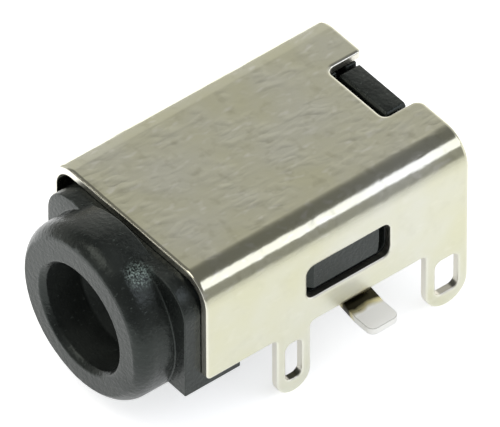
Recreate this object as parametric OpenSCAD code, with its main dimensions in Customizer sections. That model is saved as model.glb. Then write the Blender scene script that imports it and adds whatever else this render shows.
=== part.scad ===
// Board-mounted DC barrel jack: a moulded housing with a round plug nose, wrapped by a
// folded metal shell with four board tabs, and holding a turned centre pin, its terminal,
// a stamped sleeve contact and a rear cover.
//
// Millimetres. +X is the side the sleeve contact's foot comes out of, -Y is the way the
// plug leaves, +Z is up, away from the board. The origin is on the plug's axis, where the
// mouth's lead-in ends and its bore begins.

/* [Shell] */
// Width over the folded sides
shell_w = 6; // [5.2:0.1:7.4]
// Length along the plug's axis
shell_l = 8.12; // [6.7:0.01:10]
// Height from the sides' bottom edge to the top face
shell_h = 3.11; // [2.8:0.01:3.7]
// Thickness of the sheet
sheet_t = 0.22; // [0.16:0.01:0.3]
// Inside radius of the two folds
fold_r = 0.6; // [0.4:0.05:0.8]
// Radius of the sides' free corners
corner_r = 0.15; // [0.05:0.01:0.3]
// Height of the top face above the plug's axis
top_z = 2.36; // [2.3:0.01:2.9]

/* [Latch windows] */
// Length of each side window
window_l = 2.6; // [1.8:0.01:3.1]
// Height of each side window
window_h = 1.05; // [0.8:0.01:1.3]
// Front edge of the window behind the shell's front edge
window_back = 3.09; // [2.7:0.01:3.5]
// Bottom edge of the window above the shell's bottom edge
window_up = 0.78; // [0.6:0.01:1]
// Corner radius of the window
window_r = 0.24; // [0.1:0.01:0.35]
// How far the latch stands out of the housing's side
latch_out = 0.12; // [0.06:0.01:0.16]
// Depth of the pocket round the latch
latch_pocket = 0.3; // [0.1:0.01:0.34]
// Open gap ahead of the latch
latch_front_gap = 0.16; // [0.05:0.01:0.4]
// Open gap behind the latch
latch_rear_gap = 0.28; // [0.1:0.01:0.6]
// Open gap under the latch
latch_low_gap = 0.18; // [0.05:0.01:0.4]
// Length of the ramp at the latch's front end
latch_ramp = 0.15; // [0.1:0.01:0.5]
// Corner radius of the latch
latch_r = 0.1; // [0.05:0.01:0.2]

/* [Board tabs] */
// How far the tabs reach below the shell's bottom edge
tab_drop = 2; // [1.6:0.01:2.4]
// Width of the front pair
front_tab_w = 1.04; // [0.8:0.01:1.5]
// Front edge of the front pair behind the shell's front edge
front_tab_back = 2.17; // [1.7:0.01:2.4]
// Width of the rear pair, which end flush with the shell
rear_tab_w = 1.3; // [1:0.01:1.8]
// Width of the hole in a front tab
front_hole_w = 0.51; // [0.3:0.01:0.6]
// Height of the hole in a front tab
front_hole_h = 1.2; // [0.8:0.01:1.25]
// Width of the hole in a rear tab
rear_hole_w = 0.73; // [0.4:0.01:0.85]
// Height of the hole in a rear tab
rear_hole_h = 1.12; // [0.8:0.01:1.25]
// Metal left under each hole
hole_foot = 0.43; // [0.3:0.01:0.5]
// Radius inside the holes' corners
hole_r = 0.2; // [0.05:0.01:0.24]
// Fillet where a tab leaves the side
tab_fillet = 0.14; // [0.05:0.01:0.2]

/* [Rear notch] */
// Width of the notch in the top's rear edge
notch_w = 2.2; // [1.9:0.01:2.6]
// Depth of the notch
notch_d = 1.1; // [0.9:0.01:1.3]
// Radius inside the notch's corners
notch_r = 0.2; // [0.1:0.01:0.4]
// Radius of the left corner at the notch's mouth
mouth_left_r = 0.07; // [0.03:0.01:0.3]
// Radius of the right corner at the notch's mouth
mouth_right_r = 0.24; // [0.03:0.01:0.3]

/* [Plug nose] */
// Diameter of the nose
nose_d = 4.79; // [4:0.01:5]
// Diameter of the flat ring at the nose's front
nose_face_d = 4.2; // [3.6:0.02:4.4]
// Length of the round shoulder behind that ring
shoulder_l = 0.5; // [0.3:0.01:0.8]
// Nose's own axis above the plug's axis
nose_lift = 0.06; // [0:0.01:0.1]
// Gap between the nose's rear end and the shell
nose_gap = 0.2; // [0.05:0.01:0.3]
// Nose's front face ahead of the flange
nose_reach = 1.05; // [0.8:0.01:1.6]
// Flange's front face ahead of the shell
flange_reach = 0.49; // [0.35:0.01:0.9]

/* [Plug socket] */
// Diameter at the very front of the lead-in
rim_d = 3.12; // [3.05:0.01:3.4]
// Depth of the lead-in
lead_in = 0.15; // [0.1:0.01:0.4]
// Diameter of the mouth, the stretch ahead of the centre pin
mouth_d = 2.88; // [2.7:0.01:3]
// Length of the mouth
mouth_l = 1; // [0.7:0.05:1.4]
// Diameter of the bore that guides the plug
bore_d = 2.44; // [2.2:0.01:2.45]
// Length of the cone between mouth and bore
mouth_cone = 0.25; // [0.05:0.01:0.3]
// Wall between the bore's floor and the rear pocket
back_wall = 0.8; // [0.6:0.05:1.2]

/* [Centre pin] */
// Diameter of the pin
pin_d = 0.7; // [0.5:0.01:0.9]
// Tip of the pin behind the mouth's front end
pin_tip_back = 1.25; // [1.05:0.01:2]
// Diameter of the collar pressed into the housing
collar_d = 1.2; // [1.1:0.01:1.5]
// Diameter of the tail staked in the terminal
tail_d = 0.56; // [0.4:0.01:0.68]
// Diameter of the staked head
stake_d = 0.86; // [0.6:0.01:1]
// Height of the staked head
stake_h = 0.12; // [0.05:0.01:0.2]

/* [Terminals] */
// Thickness of the terminal and contact strip
strip_t = 0.2; // [0.15:0.01:0.22]
// Width of the solder feet
foot_w = 0.9; // [0.6:0.01:1.1]
// Contact foot's reach beyond the shell's side
foot_reach = 0.98; // [0.6:0.01:1.3]
// Level end of the contact foot
foot_flat = 0.6; // [0.3:0.01:0.65]
// Slope of the contact foot above its level end, in degrees
foot_slope = 12; // [6:1:14]
// Middle of the contact foot behind the shell's front edge
foot_back = 4.74; // [4.6:0.01:5.1]
// Radius of the feet's end corners
foot_r = 0.2; // [0.05:0.01:0.3]
// Terminal foot's reach behind the shell
terminal_reach = 0.85; // [0.5:0.01:1.1]
// Width of the terminal's eye
eye_w = 1.5; // [1.2:0.01:1.7]
// Bend radius at the strip's middle
strip_bend = 0.25; // [0.2:0.01:0.3]
// Nearest the contact's crown comes to the plug's axis
crown_r = 1.05; // [1:0.01:1.12]
// Height of the spring leaf
leaf_h = 0.8; // [0.5:0.01:0.9]
// Angle between the leaf and the plug's axis, in degrees
leaf_angle = 40; // [30:1:50]

/* [Seat and fits] */
// Board's surface below the shell's bottom edge
seat_drop = 0.42; // [0.36:0.01:0.5]
// Step from the seat pads up to the housing's underside
pad_h = 0.25; // [0.15:0.01:0.3]
// Length of the front pads behind the shell's front edge
front_pad = 1.22; // [0.9:0.01:1.6]
// Wall under the bore where it hangs below the board's surface
belly_wall = 0.36; // [0.25:0.01:0.5]
// Corner radius along the housing's top
housing_r = 0.9; // [0.7:0.05:1.2]
// How much the flange's left side stands in from the rest of the housing
relief_w = 0.23; // [0.1:0.01:0.4]
// How far that relief runs on inside the shell
relief_l = 0.75; // [0.3:0.05:1.5]
// Housing's rear face ahead of the shell's rear edge
rear_inset = 0.19; // [0.1:0.01:0.4]
// Clearance between the housing and what wraps it or lies in it
fit_gap = 0.02; // [0.01:0.005:0.04]
// Clearance round the spring leaf
leaf_gap = 0.1; // [0.06:0.01:0.15]

/* [Rear cover] */
// Width of the pocket that holds the terminal and the cover
pocket_w = 2.1; // [1.9:0.01:2.3]
// Depth of the pocket ahead of the housing's rear face
pocket_d = 1.16; // [1:0.01:1.3]
// Width of the lug that stands in the notch
lug_w = 1.84; // [1:0.01:1.9]
// Middle of the lug to the left of the plug's axis
lug_left = 0.08; // [0:0.01:0.1]
// Thickness of the lug
lug_t = 0.63; // [0.4:0.01:0.65]
// Bevel along the lug's top edges
lug_bevel = 0.07; // [0.03:0.01:0.15]
// Top of the cover's shoulder below the lug's top
shoulder_drop = 0.85; // [0.5:0.01:1]
// How far each tongue reaches into the pocket's side
tongue_out = 0.3; // [0.15:0.01:0.4]
// Thickness of each tongue
tongue_t = 0.3; // [0.2:0.01:0.35]

/* [Hidden] */
$fn = 64;

far = 20;      // reach of cuts that run right out of the part
skin = 0.01;   // overlap that lets joined shapes share volume
bend_step = 9; // degrees between points round a strip's bend

// Along the axis
nose_y = -lead_in;
shoulder_y = nose_y + shoulder_l;
flange_y = nose_y + nose_reach;
shell_y = flange_y + flange_reach;
shell_rear_y = shell_y + shell_l;
housing_rear_y = shell_rear_y - rear_inset;
pocket_y = housing_rear_y - pocket_d;
bore_floor_y = pocket_y - back_wall;
relief_y = shell_y + relief_l;
window_y = shell_y + window_back;
foot_y = shell_y + foot_back;
rear_tab_back = shell_l - rear_tab_w;

// Heights
bottom_z = top_z - shell_h;
board_z = bottom_z - seat_drop;
underside_z = board_z + pad_h;
tip_z = bottom_z - tab_drop;
housing_top_z = top_z - sheet_t - fit_gap;
window_z = bottom_z + window_up;

// Across
inner_x = shell_w / 2 - sheet_t;
housing_x = inner_x - fit_gap;
belly_r = bore_d / 2 + belly_wall;
shoulder_drop_r = (nose_d - nose_face_d) / 2;
shoulder_r = (pow(shoulder_l, 2) + pow(shoulder_drop_r, 2)) / (2 * shoulder_drop_r);
anchor_x = housing_x - latch_pocket - strip_t / 2 - fit_gap - 0.24;
anchor_top_z = 0.95;
tongue_low_z = -0.5;
slot_w = foot_w + 2 * fit_gap;

// The spring leaf: a bend in from the anchor, a straight arm, a crown and a lead-out
crown_bend = 0.5;
crown_turn = leaf_angle + 35;
leaf_start = 0.1;
leaf_tip = 0.45;
leaf_arm = (anchor_x - crown_r - strip_t / 2
    - (strip_bend + crown_bend) * (1 - cos(leaf_angle))) / sin(leaf_angle);
leaf_reach = leaf_start + (strip_bend + crown_bend) * sin(leaf_angle)
    + leaf_arm * cos(leaf_angle) + crown_bend * sin(crown_turn - leaf_angle)
    + leaf_tip * cos(crown_turn - leaf_angle) + strip_t / 2;
anchor_front_y = foot_y - foot_w / 2;
anchor_rear_y = foot_y + foot_w / 2;

// The contact's foot: down out of the anchor, a slope out under the shell, a level end
foot_mid_z = board_z + strip_t / 2;
foot_turn = 90 - foot_slope;
foot_end_x = shell_w / 2 + foot_reach;
slope_l = (foot_end_x - foot_flat - anchor_x - strip_bend * (1 - cos(foot_turn))
    - strip_bend * sin(foot_slope)) / cos(foot_slope);
anchor_low_z = foot_mid_z + strip_bend * (1 - cos(foot_slope)) + slope_l * sin(foot_slope)
    + strip_bend * sin(foot_turn);

// Rectangle with round corners, its lower left corner at the origin
module round_rect(size, r) {
    translate([r, 0]) square([size[0] - 2 * r, size[1]]);
    translate([0, r]) square([size[0], size[1] - 2 * r]);
    for (x = [r, size[0] - r], y = [r, size[1] - r]) translate([x, y]) circle(r);
}

// Arch: square below, round corners above, centred on the Y axis
module arch(half, low, high, r) {
    translate([-half, low]) square([2 * half, high - low - r]);
    translate([-(half - r), low]) square([2 * (half - r), high - low]);
    for (s = [-1, 1]) translate([s * (half - r), high - r]) circle(r);
}

// Draws a shape in X and Z and runs it along Y from front to rear
module along_y(front, rear) {
    translate([0, rear, 0]) rotate([90, 0, 0]) linear_extrude(rear - front) children();
}

// Draws a shape in Y and Z and runs it along X from left to right
module along_x(left, right) {
    translate([left, 0, 0]) rotate([90, 0, 90]) linear_extrude(right - left) children();
}

// Turns a profile of [radius, distance along Y] about the plug's axis
module about_axis(profile) {
    rotate([-90, 0, 0]) rotate_extrude() polygon(profile);
}

// Shaft along Y from front to rear, on the plug's axis
module shaft(d, front, rear) {
    translate([0, rear, 0]) rotate([90, 0, 0]) cylinder(d = d, h = rear - front);
}

// Middle line of a bent strip as [x, y, heading], from the origin along +X. Each leg is a
// straight length, then a turn in degrees (left is positive) at a bend radius.
function strip_line(legs, i = 0, at = [0, 0, 0]) = i == len(legs) ? [at] :
    let (run = legs[i][0], turn = legs[i][1], r = legs[i][2] * sign(turn), a = at[2],
        x = at[0] + run * cos(a), y = at[1] + run * sin(a),
        steps = ceil(abs(turn) / bend_step),
        arc = [for (k = [0 : 1 : steps]) let (h = a + turn * k / max(steps, 1))
            [x + r * (sin(h) - sin(a)), y - r * (cos(h) - cos(a)), h]])
    concat([at], [for (k = [0 : 1 : steps - 1]) arc[k]], strip_line(legs, i + 1, arc[steps]));

function beside(p, d) = [p[0] - d * sin(p[2]), p[1] + d * cos(p[2])];

module strip(legs) {
    line = strip_line(legs);
    polygon([
        for (p = line) beside(p, strip_t / 2),
        for (i = [len(line) - 1 : -1 : 0]) beside(line[i], -strip_t / 2)
    ]);
}

// ---- Shell ----

// One board tab, its front edge at y, hanging from the shell's bottom edge
module tab(y, w) {
    translate([y, tip_z + w / 2]) square([w, tab_drop - w / 2 + skin]);
    translate([y + w / 2, tip_z + w / 2]) circle(d = w);
}

// Fillet in the corner at y, under the shell's bottom edge; side says which way it opens
module fillet(y, side) {
    translate([y, bottom_z + skin]) mirror([side < 0 ? 1 : 0, 0]) difference() {
        translate([-skin, -tab_fillet - skin]) square(tab_fillet + skin);
        translate([tab_fillet, -tab_fillet - skin]) circle(tab_fillet);
    }
}

module tab_hole(y, w, hole_w, hole_h) {
    translate([y + (w - hole_w) / 2, tip_z + hole_foot]) round_rect([hole_w, hole_h], hole_r);
}

// The shell's side as cut flat, in Y and Z
module side_outline() {
    front_tab_y = shell_y + front_tab_back;
    rear_tab_y = shell_y + rear_tab_back;
    difference() {
        union() {
            translate([shell_y, bottom_z]) round_rect([shell_l, shell_h], corner_r);
            translate([shell_y, bottom_z + corner_r]) square([shell_l, shell_h - corner_r]);
            translate([shell_y + corner_r, bottom_z]) square([shell_l - corner_r, corner_r]);
            tab(front_tab_y, front_tab_w);
            tab(rear_tab_y, rear_tab_w);
            fillet(front_tab_y, -1);
            fillet(front_tab_y + front_tab_w, 1);
            fillet(rear_tab_y, -1);
        }
        tab_hole(front_tab_y, front_tab_w, front_hole_w, front_hole_h);
        tab_hole(rear_tab_y, rear_tab_w, rear_hole_w, rear_hole_h);
        translate([window_y, window_z]) round_rect([window_l, window_h], window_r);
    }
}

// Rounding off of the corner at one side of the notch's mouth
module mouth_corner(side, r) {
    translate([side * notch_w / 2, shell_rear_y - r]) mirror([side < 0 ? 1 : 0, 0])
        difference() {
            translate([-skin, 0]) square([r + skin, far]);
            translate([r, 0]) circle(r);
        }
}

// Notch in the top's rear edge
module notch() {
    translate([-notch_w / 2, shell_rear_y - notch_d]) round_rect([notch_w, far], notch_r);
    mouth_corner(-1, mouth_left_r);
    mouth_corner(1, mouth_right_r);
}

module shell() {
    color("silver") difference() {
        intersection() {
            along_y(shell_y - 1, shell_rear_y + 1) difference() {
                arch(shell_w / 2, tip_z - 1, top_z, fold_r + sheet_t);
                arch(inner_x, tip_z - 2, top_z - sheet_t, fold_r);
            }
            along_x(-shell_w, shell_w) side_outline();
        }
        translate([0, 0, housing_top_z]) linear_extrude(far) notch();
    }
}

// ---- Housing ----

// Nose: a flat front ring, a round shoulder that runs into its side
module nose() {
    shaft(nose_d, shoulder_y, shell_y - nose_gap);
    rotate([-90, 0, 0]) rotate_extrude() intersection() {
        union() {
            translate([0, nose_y]) square([nose_d / 2 - shoulder_r, shoulder_l + skin]);
            translate([nose_d / 2 - shoulder_r, shoulder_y]) circle(shoulder_r);
        }
        translate([0, nose_y]) square([nose_d / 2, shoulder_l]);
    }
}

bore_profile = [
    [0, nose_y - 1], [rim_d / 2 + 1, nose_y - 1], [rim_d / 2 + 1, nose_y], [rim_d / 2, nose_y],
    [mouth_d / 2, 0], [mouth_d / 2, mouth_l], [bore_d / 2, mouth_l + mouth_cone],
    [bore_d / 2, bore_floor_y], [0, bore_floor_y]
];

// Pocket behind a side window, in Y and Z: the gaps ahead of, behind and under the latch
module latch_pocket_outline() {
    difference() {
        translate([window_y, window_z]) round_rect([window_l, window_h], window_r);
        translate([window_y + latch_front_gap, window_z + latch_low_gap])
            square([window_l - latch_front_gap - latch_rear_gap, window_h]);
    }
}

// Latch that stands in a side window, with a ramp at its front end
module latch() {
    front = window_y + latch_front_gap;
    rear = window_y + window_l - latch_rear_gap;
    low = window_z + latch_low_gap;
    high = window_z + window_h - fit_gap;
    root = housing_x - 2 * skin;
    out = housing_x + latch_out;
    intersection() {
        translate([0, 0, low]) linear_extrude(high - low) polygon([[root, front],
            [housing_x, front], [out, front + latch_ramp], [out, rear], [root, rear]]);
        along_x(root - 1, out + 1) translate([front, low])
            round_rect([rear - front, high - low], latch_r);
    }
}

// Pocket at the rear for the terminal and the cover, with a groove for each tongue
module rear_pocket() {
    translate([-pocket_w / 2, pocket_y, -far]) cube([pocket_w, far, 2 * far]);
    translate([-pocket_w / 2 - tongue_out, housing_rear_y - lug_t, tongue_low_z])
        cube([pocket_w + 2 * tongue_out, tongue_t, far]);
}

// Slot that the sleeve contact is pushed up into, open to the bore where the leaf bows in
module contact_slot() {
    leaf_front = anchor_front_y - leaf_reach - leaf_gap;
    half = leaf_h / 2 + leaf_gap;
    in = bore_d / 2 + 0.2;
    out = anchor_x + strip_t / 2 + fit_gap;
    translate([in, leaf_front, -far]) cube([out - in, anchor_rear_y + fit_gap - leaf_front,
        far + half]);
    translate([0, leaf_front, -half]) cube([out, anchor_front_y - leaf_front, 2 * half]);
    translate([anchor_x - strip_t / 2 - fit_gap, foot_y - slot_w / 2, -far])
        cube([strip_t + 2 * fit_gap, slot_w, far + anchor_top_z + fit_gap]);
    translate([anchor_x, foot_y - slot_w / 2, -far])
        cube([far, slot_w, far + anchor_low_z + fit_gap]);
}

module seat_pads() {
    translate([relief_w - housing_x, flange_y, board_z])
        cube([2 * housing_x - relief_w, shell_y + front_pad - flange_y, pad_h + skin]);
    translate([-housing_x, pocket_y, board_z]) cube([2 * housing_x, pocket_d, pad_h + skin]);
}

// Body of the housing: an arch, with its left side relieved at the front
module body() {
    along_y(flange_y, relief_y) translate([relief_w / 2, 0])
        arch(housing_x - relief_w / 2, underside_z, housing_top_z, housing_r);
    along_y(relief_y - skin, housing_rear_y)
        arch(housing_x, underside_z, housing_top_z, housing_r);
}

module housing() {
    color([0.13, 0.14, 0.14]) difference() {
        union() {
            difference() {
                union() {
                    body();
                    seat_pads();
                }
                for (s = [0, 1]) mirror([s, 0, 0])
                    along_x(housing_x - latch_pocket, far) latch_pocket_outline();
            }
            translate([0, 0, nose_lift]) nose();
            shaft(2 * belly_r, flange_y, pocket_y);
            for (s = [0, 1]) mirror([s, 0, 0]) latch();
        }
        about_axis(bore_profile);
        shaft(collar_d + 2 * fit_gap, bore_floor_y - skin, pocket_y + skin);
        rear_pocket();
        contact_slot();
    }
}

// ---- Centre pin ----

module centre_pin() {
    tip_r = pin_d * 0.42;
    stake_y = pocket_y + strip_t;
    color("gainsboro") union() {
        // A barrel with a round nose, left flat at its very tip
        rotate([-90, 0, 0]) rotate_extrude() translate([0, pin_tip_back]) {
            intersection() {
                union() {
                    square([pin_d / 2 - tip_r, tip_r + skin]);
                    translate([pin_d / 2 - tip_r, tip_r]) circle(tip_r);
                }
                square([pin_d / 2, tip_r + skin]);
            }
        }
        shaft(pin_d, pin_tip_back + tip_r, bore_floor_y + skin);
        shaft(collar_d, bore_floor_y, pocket_y);
        shaft(tail_d, pocket_y - skin, stake_y + skin);
        shaft(stake_d, stake_y, stake_y + stake_h);
    }
}

// ---- Terminal of the centre pin ----

module pin_terminal() {
    mid_y = pocket_y + strip_t / 2;
    drop = -(foot_mid_z + strip_bend);
    out = shell_rear_y + terminal_reach - mid_y - strip_bend;
    color("gold") difference() {
        union() {
            intersection() {
                along_x(-foot_w / 2, foot_w / 2) translate([mid_y, 0]) rotate(-90)
                    strip([[drop, 90, strip_bend], [out, 0, 0]]);
                translate([-foot_w / 2, shell_rear_y + terminal_reach - far, -far])
                    linear_extrude(2 * far) round_rect([foot_w, far], foot_r);
            }
            shaft(eye_w, pocket_y, pocket_y + strip_t);
        }
        shaft(tail_d + 2 * fit_gap, pocket_y - 1, pocket_y + 1);
    }
}

// ---- Sleeve contact ----

module sleeve_contact() {
    drop = anchor_top_z - anchor_low_z;
    color("gold") union() {
        // Anchor plate and foot
        intersection() {
            along_y(anchor_front_y, anchor_rear_y) translate([anchor_x, anchor_top_z])
                rotate(-90) strip([[drop, foot_turn, strip_bend],
                    [slope_l, foot_slope, strip_bend], [foot_flat, 0, 0]]);
            translate([foot_end_x - far, anchor_front_y, -far]) linear_extrude(2 * far)
                round_rect([far, foot_w], foot_r);
        }
        // Leaf that bows into the bore
        translate([anchor_x, anchor_front_y + skin, -leaf_h / 2]) linear_extrude(leaf_h)
            rotate(-90) strip([[leaf_start + skin, -leaf_angle, strip_bend],
                [leaf_arm, crown_turn, crown_bend], [leaf_tip, 0, 0]]);
    }
}

// ---- Rear cover ----

// Lug that stands in the shell's notch, its front, left and right top edges bevelled
module lug(front, low) {
    left = -lug_left - lug_w / 2;
    right = left + lug_w;
    top = housing_top_z;
    edge = top - lug_bevel;
    intersection() {
        along_x(left, right) polygon([[front, low], [front, edge], [front + lug_bevel, top],
            [housing_rear_y, top], [housing_rear_y, low]]);
        along_y(front, housing_rear_y) polygon([[left, low], [left, edge],
            [left + lug_bevel, top], [right - lug_bevel, top], [right, edge], [right, low]]);
    }
}

module rear_cover() {
    half = pocket_w / 2 - fit_gap;
    front = pocket_y + strip_t + fit_gap;
    low = foot_mid_z + strip_t / 2 + fit_gap;
    high = housing_top_z - shoulder_drop;
    lug_y = housing_rear_y - lug_t;
    color([0.1, 0.1, 0.1]) difference() {
        union() {
            // The lower front edge is cut back over the terminal's bend
            along_x(-half, half) polygon([[front, high], [front, low + strip_bend],
                [front + strip_bend, low], [housing_rear_y, low], [housing_rear_y, high]]);
            lug(lug_y, high - skin);
            translate([-half - tongue_out, lug_y + fit_gap, tongue_low_z + fit_gap])
                cube([2 * (half + tongue_out), tongue_t - 2 * fit_gap,
                    high - tongue_low_z - fit_gap]);
        }
        shaft(stake_d + 0.2, front - 1, front + stake_h);
    }
}

housing();
shell();
centre_pin();
pin_terminal();
sleeve_contact();
rear_cover();
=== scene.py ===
# Board-mounted DC barrel jack, dressed over its CAD frame: folded nickel shell, black
# glass-filled moulding, turned centre pin, plated terminal and contact strip.
from math import cos, pi, radians, sin

import bmesh
import bpy
from mathutils import Matrix, Vector
from mathutils.geometry import delaunay_2d_cdt


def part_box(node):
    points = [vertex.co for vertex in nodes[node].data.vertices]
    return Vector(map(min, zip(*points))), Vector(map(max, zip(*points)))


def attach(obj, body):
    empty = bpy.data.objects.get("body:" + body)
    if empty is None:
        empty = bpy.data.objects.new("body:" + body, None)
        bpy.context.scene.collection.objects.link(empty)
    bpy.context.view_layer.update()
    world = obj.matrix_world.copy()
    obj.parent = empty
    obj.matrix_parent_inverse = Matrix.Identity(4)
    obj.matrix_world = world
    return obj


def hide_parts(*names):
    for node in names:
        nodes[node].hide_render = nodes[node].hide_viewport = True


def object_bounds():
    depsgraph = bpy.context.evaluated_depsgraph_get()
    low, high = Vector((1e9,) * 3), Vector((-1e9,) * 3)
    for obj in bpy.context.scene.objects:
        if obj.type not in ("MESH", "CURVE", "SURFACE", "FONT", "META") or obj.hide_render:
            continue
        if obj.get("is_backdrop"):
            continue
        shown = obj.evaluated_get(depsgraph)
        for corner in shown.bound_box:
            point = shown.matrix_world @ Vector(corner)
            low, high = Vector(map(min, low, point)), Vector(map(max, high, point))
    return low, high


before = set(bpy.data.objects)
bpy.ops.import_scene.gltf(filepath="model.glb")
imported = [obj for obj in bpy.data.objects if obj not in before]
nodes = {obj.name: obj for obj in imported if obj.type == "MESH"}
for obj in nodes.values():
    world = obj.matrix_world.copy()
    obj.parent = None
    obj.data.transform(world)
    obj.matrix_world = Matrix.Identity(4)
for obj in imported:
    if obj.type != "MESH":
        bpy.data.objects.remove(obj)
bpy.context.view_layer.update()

mm = 0.001


def colour(hexCode):
    # sRGB hex to the linear values that a shader wants, opaque
    parts = [int(hexCode[i:i + 2], 16) / 255 for i in (1, 3, 5)]
    return [c / 12.92 if c <= 0.04045 else ((c + 0.055) / 1.055) ** 2.4 for c in parts] + [1.0]


def addNode(tree, kind, inputs=None, **settings):
    # one node with its settings; an input is a value, or a node or an output to link to it
    node = tree.nodes.new(kind)
    for name, value in settings.items():
        setattr(node, name, value)
    for key, value in (inputs or {}).items():
        if isinstance(value, bpy.types.Node):
            value = next(output for output in value.outputs if output.enabled)
        if isinstance(value, bpy.types.NodeSocket):
            tree.links.new(value, node.inputs[key])
        else:
            node.inputs[key].default_value = value
    return node


def newMaterial(name):
    material = bpy.data.materials.new(name)
    material.use_nodes = True
    material.node_tree.nodes.clear()
    return material, material.node_tree


def dress(piece, material):
    piece.data.materials.clear()
    piece.data.materials.append(material)


camera = {
    "azimuth": 51.19,       # degrees round the object, from looking along +Y
    "elevation": 43.85,     # degrees above the horizon
    "roll": -0.2,
    "distance": 350.144 * mm,
    "lens": 1041.0,         # long lens, so the box edges stay all but parallel
    "sensor": 36.0,
    "nearest": 10 * mm, "furthest": 2.0,
    "right": -0.248 * mm,   # aim off the shell's middle, along the view's own axes
    "up": 0.241 * mm,
}


def placeCamera(s):
    a, e = radians(s["azimuth"]), radians(s["elevation"])
    right = Vector((cos(a), sin(a), 0))
    forward = Vector((-sin(a) * cos(e), cos(a) * cos(e), -sin(e)))
    up = right.cross(forward)
    roll = Matrix.Rotation(radians(-s["roll"]), 3, forward)
    right, up = roll @ right, roll @ up
    low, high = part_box("shell")
    aim = (low + high) / 2 + right * s["right"] + up * s["up"]
    data = bpy.data.cameras.new("camera")
    data.lens, data.sensor_width = s["lens"], s["sensor"]
    data.clip_start, data.clip_end = s["nearest"], s["furthest"]
    eye = bpy.data.objects.new("camera", data)
    turn = Matrix((right, up, -forward)).transposed().to_4x4()
    eye.matrix_world = Matrix.Translation(aim - forward * s["distance"]) @ turn
    bpy.context.scene.collection.objects.link(eye)
    bpy.context.scene.camera = eye


studio = {
    "floor": "#f5f6f7",
    "floorSize": 90 * mm, "floorSides": 96,
    "eyeGlow": 0.66,        # the floor's own white for the eye
    "floorGlow": 0.85,      # and for gloss, fading out towards the right
    "fadeFrom": -10 * mm, "fadeTo": 18 * mm,
    # The room is given as brightness. Where a part of it starts, and where it is whole, is
    # a reading of the X, Y or Z of the direction looked in, from -1 to 1.
    "left": 0.62, "right": 0.33,            # pale wall on the left, dim wall on the right
    "leftUntil": -0.5, "rightFrom": 0.7,
    "leftTint": "#fffdf7",                  # the left is a little warm
    "tintFrom": -0.1, "tintWhole": -0.5,
    "overhead": 0.17,                       # dark ceiling above the table
    "ceilingLean": -0.35,                   # it starts higher towards the back
    "ceilingFrom": 0.46, "ceilingWhole": 0.7,
    "sweep": 1.1,                           # white paper that curves up behind the object
    "sweepFrom": 0.48, "sweepWhole": 0.62,
    "sweepTop": 0.55, "sweepFade": 0.35,    # gone above the one, whole below the other
    "below": 0.9, "belowWhole": -0.3,       # white under the horizon
    "ambient": 0.75,                        # what plain matt surfaces get from the world
}


def floorMaterial(s):
    # matt white table; the eye, metal and clear parts also see its own white, the object's
    # shadow stays in the matt share, and from below it is clear
    material, tree = newMaterial("whiteTable")
    path = addNode(tree, "ShaderNodeLightPath").outputs
    surface = addNode(tree, "ShaderNodeNewGeometry").outputs
    axes = addNode(tree, "ShaderNodeSeparateXYZ", {0: surface["Position"]}).outputs
    fade = addNode(tree, "ShaderNodeMapRange", {"Value": axes["X"],
                   "From Min": s["fadeFrom"], "From Max": s["fadeTo"],
                   "To Min": s["floorGlow"], "To Max": 0.0})
    metal = addNode(tree, "ShaderNodeMath", {0: path["Is Glossy Ray"], 1: fade},
                    operation="MULTIPLY")
    seen = addNode(tree, "ShaderNodeMath", {0: path["Is Camera Ray"],
                   1: path["Is Transmission Ray"]}, operation="MAXIMUM")
    glow = addNode(tree, "ShaderNodeMath", {0: seen, 1: s["eyeGlow"], 2: metal},
                   operation="MULTIPLY_ADD")
    matt = addNode(tree, "ShaderNodeBsdfDiffuse", {"Color": colour(s["floor"])})
    white = addNode(tree, "ShaderNodeEmission", {"Color": colour(s["floor"]),
                    "Strength": glow})
    both = addNode(tree, "ShaderNodeAddShader", {0: matt, 1: white})
    clear = addNode(tree, "ShaderNodeBsdfTransparent")
    mix = addNode(tree, "ShaderNodeMixShader", {0: surface["Backfacing"], 1: both, 2: clear})
    addNode(tree, "ShaderNodeOutputMaterial", {"Surface": mix})
    return material


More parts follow.
